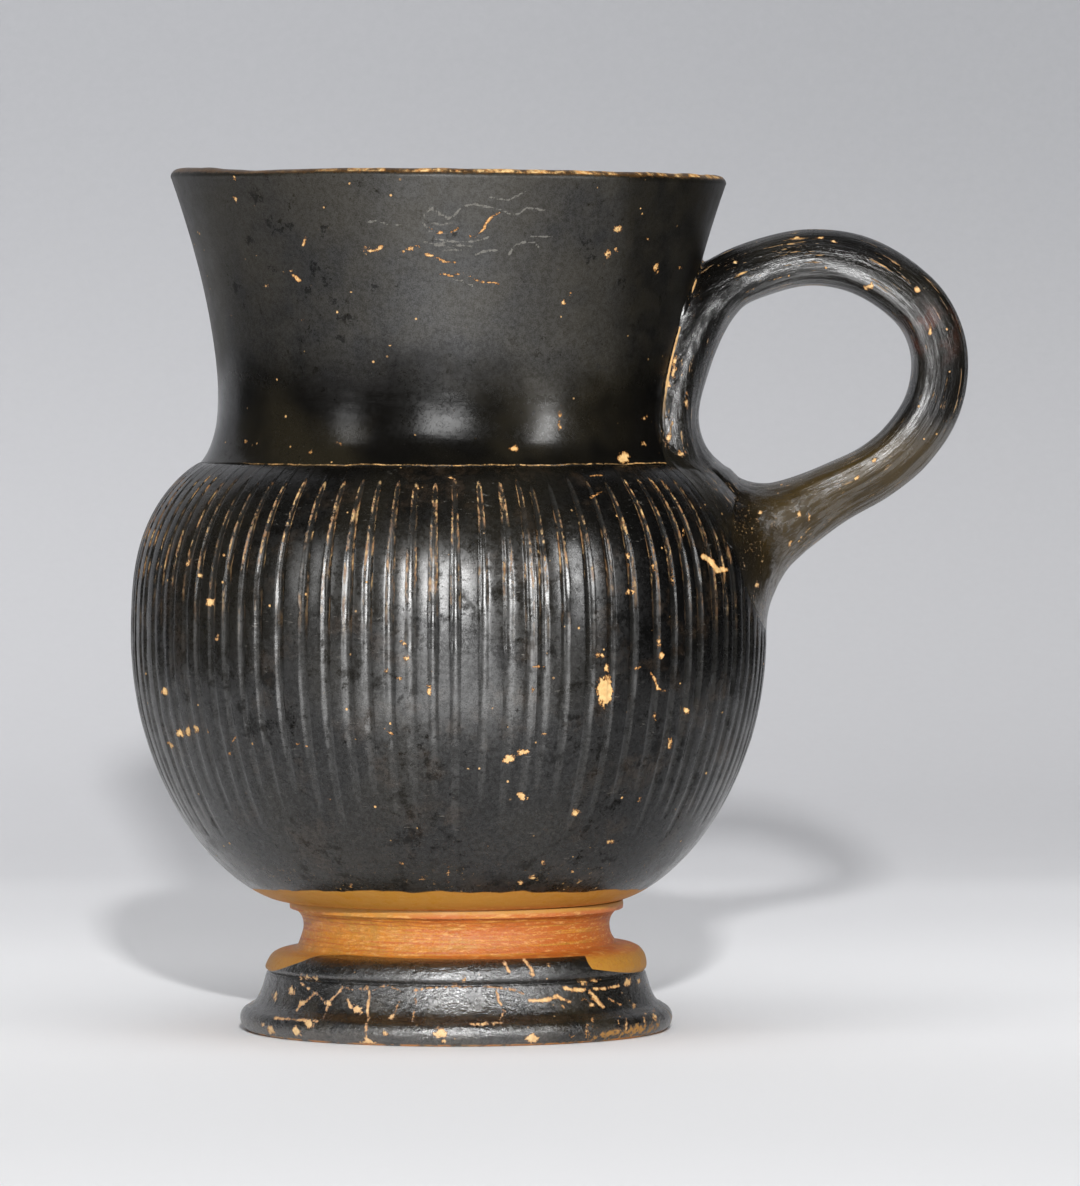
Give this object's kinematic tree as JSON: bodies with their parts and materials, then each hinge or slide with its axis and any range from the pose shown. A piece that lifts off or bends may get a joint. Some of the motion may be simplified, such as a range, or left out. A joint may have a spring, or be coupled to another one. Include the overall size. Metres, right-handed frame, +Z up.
{
  "type": "ribbed ceramic mug",
  "caption": "Wheel-thrown black-gloss mug with a flaring neck, ribbed globular bowl, moulded foot and a ring handle.",
  "frame": {"origin": "under the middle of the whole mug, handle included, on the plane that the foot rests on", "axes": "+X towards the handle, +Y away from the viewer, +Z up through the mouth"},
  "size_m": [0.1022, 0.0776, 0.1051],
  "materials": {
    "black_gloss": "black gloss slip, semi-gloss, chipped to orange clay on the ribs",
    "worn_gloss": "olive-black slip, scratched, lip worn brown",
    "foot_gloss": "black gloss slip, crackled to orange",
    "handle_gloss": "black gloss slip, olive-brown where thin",
    "luting_clay": "slip-covered clay, worn pale along its edge",
    "reserved_clay": "bare orange-red clay, matt"
  },
  "bodies": {
    "root": {"bowl": "black_gloss", "neck": "worn_gloss", "foot": "foot_gloss", "handle": "handle_gloss", "neck_luting_coil": "luting_clay", "foot_luting_coil": "reserved_clay", "handle_luting": "luting_clay"}
  },
  "joints": []
}
